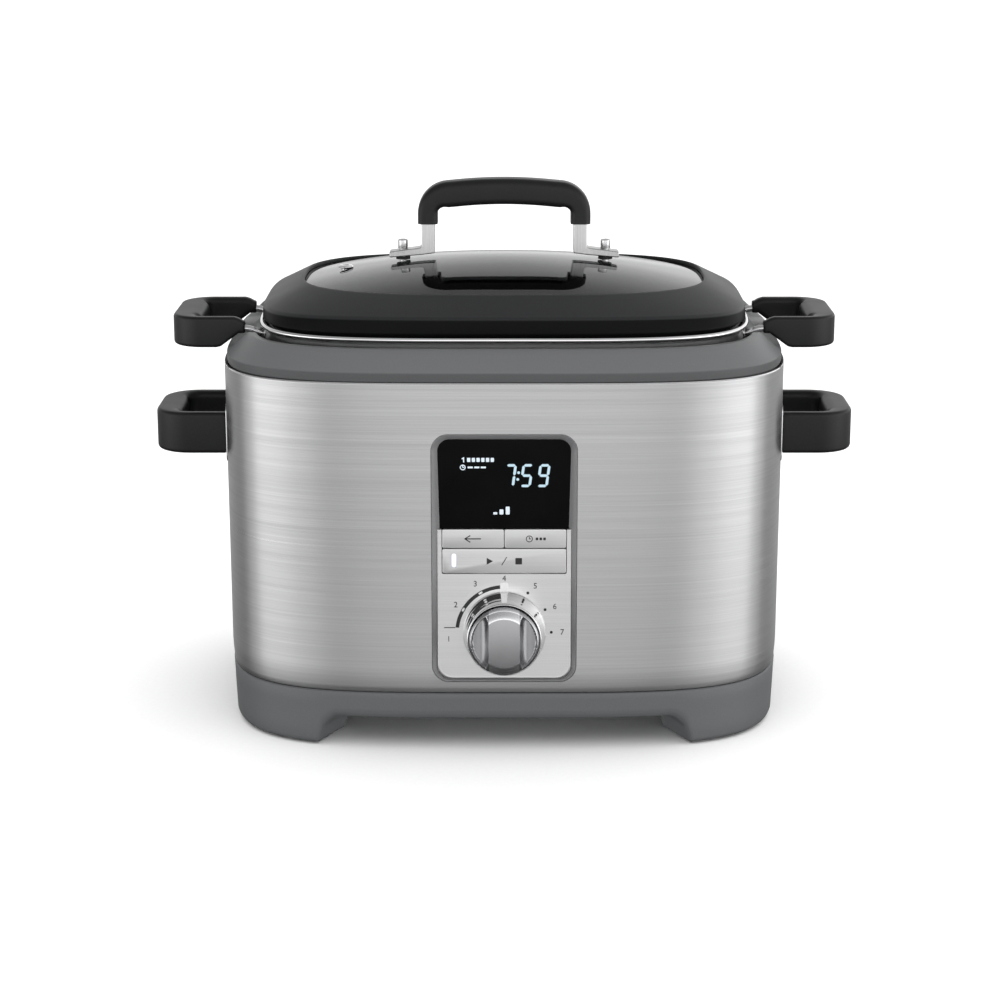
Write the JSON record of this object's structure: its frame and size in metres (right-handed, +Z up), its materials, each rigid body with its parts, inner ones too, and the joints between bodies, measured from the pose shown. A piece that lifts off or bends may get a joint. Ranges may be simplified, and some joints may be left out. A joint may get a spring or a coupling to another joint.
{
  "type": "slow cooker",
  "caption": "Oval electric slow cooker with a brushed steel body, lift-out steel pot, glass lid, dial and push-button control panel.",
  "frame": {"origin": "on the standing surface, under the middle of the whole footprint", "axes": "+X to the right of someone facing the control panel, +Y from the panel to the back, +Z up"},
  "size_m": [0.489, 0.3242, 0.3675],
  "materials": {
    "base_plastic": "fine-grained dark grey",
    "rubber": "matt black",
    "screw_steel": "zinc plated",
    "brushed_steel": "brushed along the body",
    "ring_coating": "satin graphite",
    "well_coating": "satin grey",
    "mica": "matt",
    "insulation": "felted fibre",
    "cast_aluminium": "as cast, machined top",
    "element_steel": "heat tinted",
    "ceramic_body": "glazed",
    "plain_steel": "plain",
    "spring_steel": "bright",
    "circuit_board": "solder mask",
    "black_plastic": "moulded",
    "display_black": "gloss",
    "wire_insulation": "silicone wire",
    "bezel_grey": "satin grey",
    "silver_panel": "satin silver",
    "black_ink": "printed",
    "light_pipe": "clear white",
    "chrome": "polished",
    "satin_metal": "satin",
    "polished_steel": "polished",
    "handle_black": "fine-grained black",
    "pot_steel": "brushed, bright rim",
    "lid_frame_black": "fine-grained charcoal",
    "glass": "clear tempered",
    "silicone": "translucent grey",
    "bracket_steel": "brushed"
  },
  "bodies": {
    "housing": {"base_pan": "base_plastic", "rubber_feet": "rubber", "bottom_cover": "base_plastic", "cover_screws": "screw_steel", "steel_wrap": "brushed_steel", "shoulder_ring": "ring_coating", "heating_well": "well_coating", "band_heater": "mica", "insulation_blanket": "insulation", "heating_plate": "cast_aluminium", "heating_element": "element_steel", "thermal_fuse": "ceramic_body", "sensor_bracket": "plain_steel", "sensor_spring": "spring_steel", "heat_shield": "plain_steel", "well_supports": "plain_steel", "power_board": "circuit_board", "control_board": "circuit_board", "tact_switches": "black_plastic", "lcd_module": "display_black", "rotary_switch": "plain_steel", "wiring_harness": "wire_insulation", "cord_gland": "black_plastic", "panel_bezel": "bezel_grey", "panel_plate": "silver_panel", "dial_markings": "black_ink", "display_glass": "display_black", "handle_plate_left": "polished_steel", "handle_plate_right": "polished_steel", "body_handle_left": "handle_black", "body_handle_right": "handle_black", "handle_screws": "screw_steel"},
    "sensor": {"sensor_plunger": "cast_aluminium"},
    "back_key": {"back_button": "silver_panel"},
    "timer_key": {"timer_button": "silver_panel"},
    "start_key": {"start_button": "silver_panel", "start_light": "light_pipe"},
    "dial": {"knob_shaft": "plain_steel", "knob_skirt": "chrome", "knob_cap": "satin_metal"},
    "pot_unit": {"pot": "pot_steel", "pot_base_disc": "cast_aluminium", "pot_bracket_left": "polished_steel", "pot_bracket_right": "polished_steel", "pot_grip_left": "handle_black", "pot_grip_right": "handle_black"},
    "lid_unit": {"lid_frame": "lid_frame_black", "lid_glass": "glass", "lid_seal": "silicone", "vent_grommet": "polished_steel", "lid_bracket_left": "bracket_steel", "lid_bracket_right": "bracket_steel", "lid_grip": "handle_black", "lid_bolts": "screw_steel", "lid_washers": "rubber", "lid_nuts": "screw_steel"}
  },
  "joints": [
    {"name": "pot_lift", "type": "slide", "parent": "housing", "child": "pot_unit", "axis": [0, 0, 1], "range_m": [0, 0.22]},
    {"name": "lid_lift", "type": "slide", "parent": "pot_unit", "child": "lid_unit", "axis": [0, 0, 1], "range_m": [0, 0.12]},
    {"name": "dial_turn", "type": "hinge", "parent": "housing", "child": "dial", "pos_m": [0, -0.1473, 0.08225], "axis": [0, -1, 0], "range_deg": [-90, 90]},
    {"name": "back_press", "type": "slide", "parent": "housing", "child": "back_key", "axis": [0, 1, 0], "range_m": [0, 0.001], "stiffness_N_per_m": 2000, "springref_m": -0.0005},
    {"name": "timer_press", "type": "slide", "parent": "housing", "child": "timer_key", "axis": [0, 1, 0], "range_m": [0, 0.001], "stiffness_N_per_m": 2000, "springref_m": -0.0005},
    {"name": "start_press", "type": "slide", "parent": "housing", "child": "start_key", "axis": [0, 1, 0], "range_m": [0, 0.001], "stiffness_N_per_m": 2000, "springref_m": -0.0005},
    {"name": "sensor_press", "type": "slide", "parent": "housing", "child": "sensor", "axis": [0, 0, 1], "range_m": [-0.0025, 0], "stiffness_N_per_m": 800, "springref_m": 0.002, "deforming": ["sensor_spring"]}
  ]
}
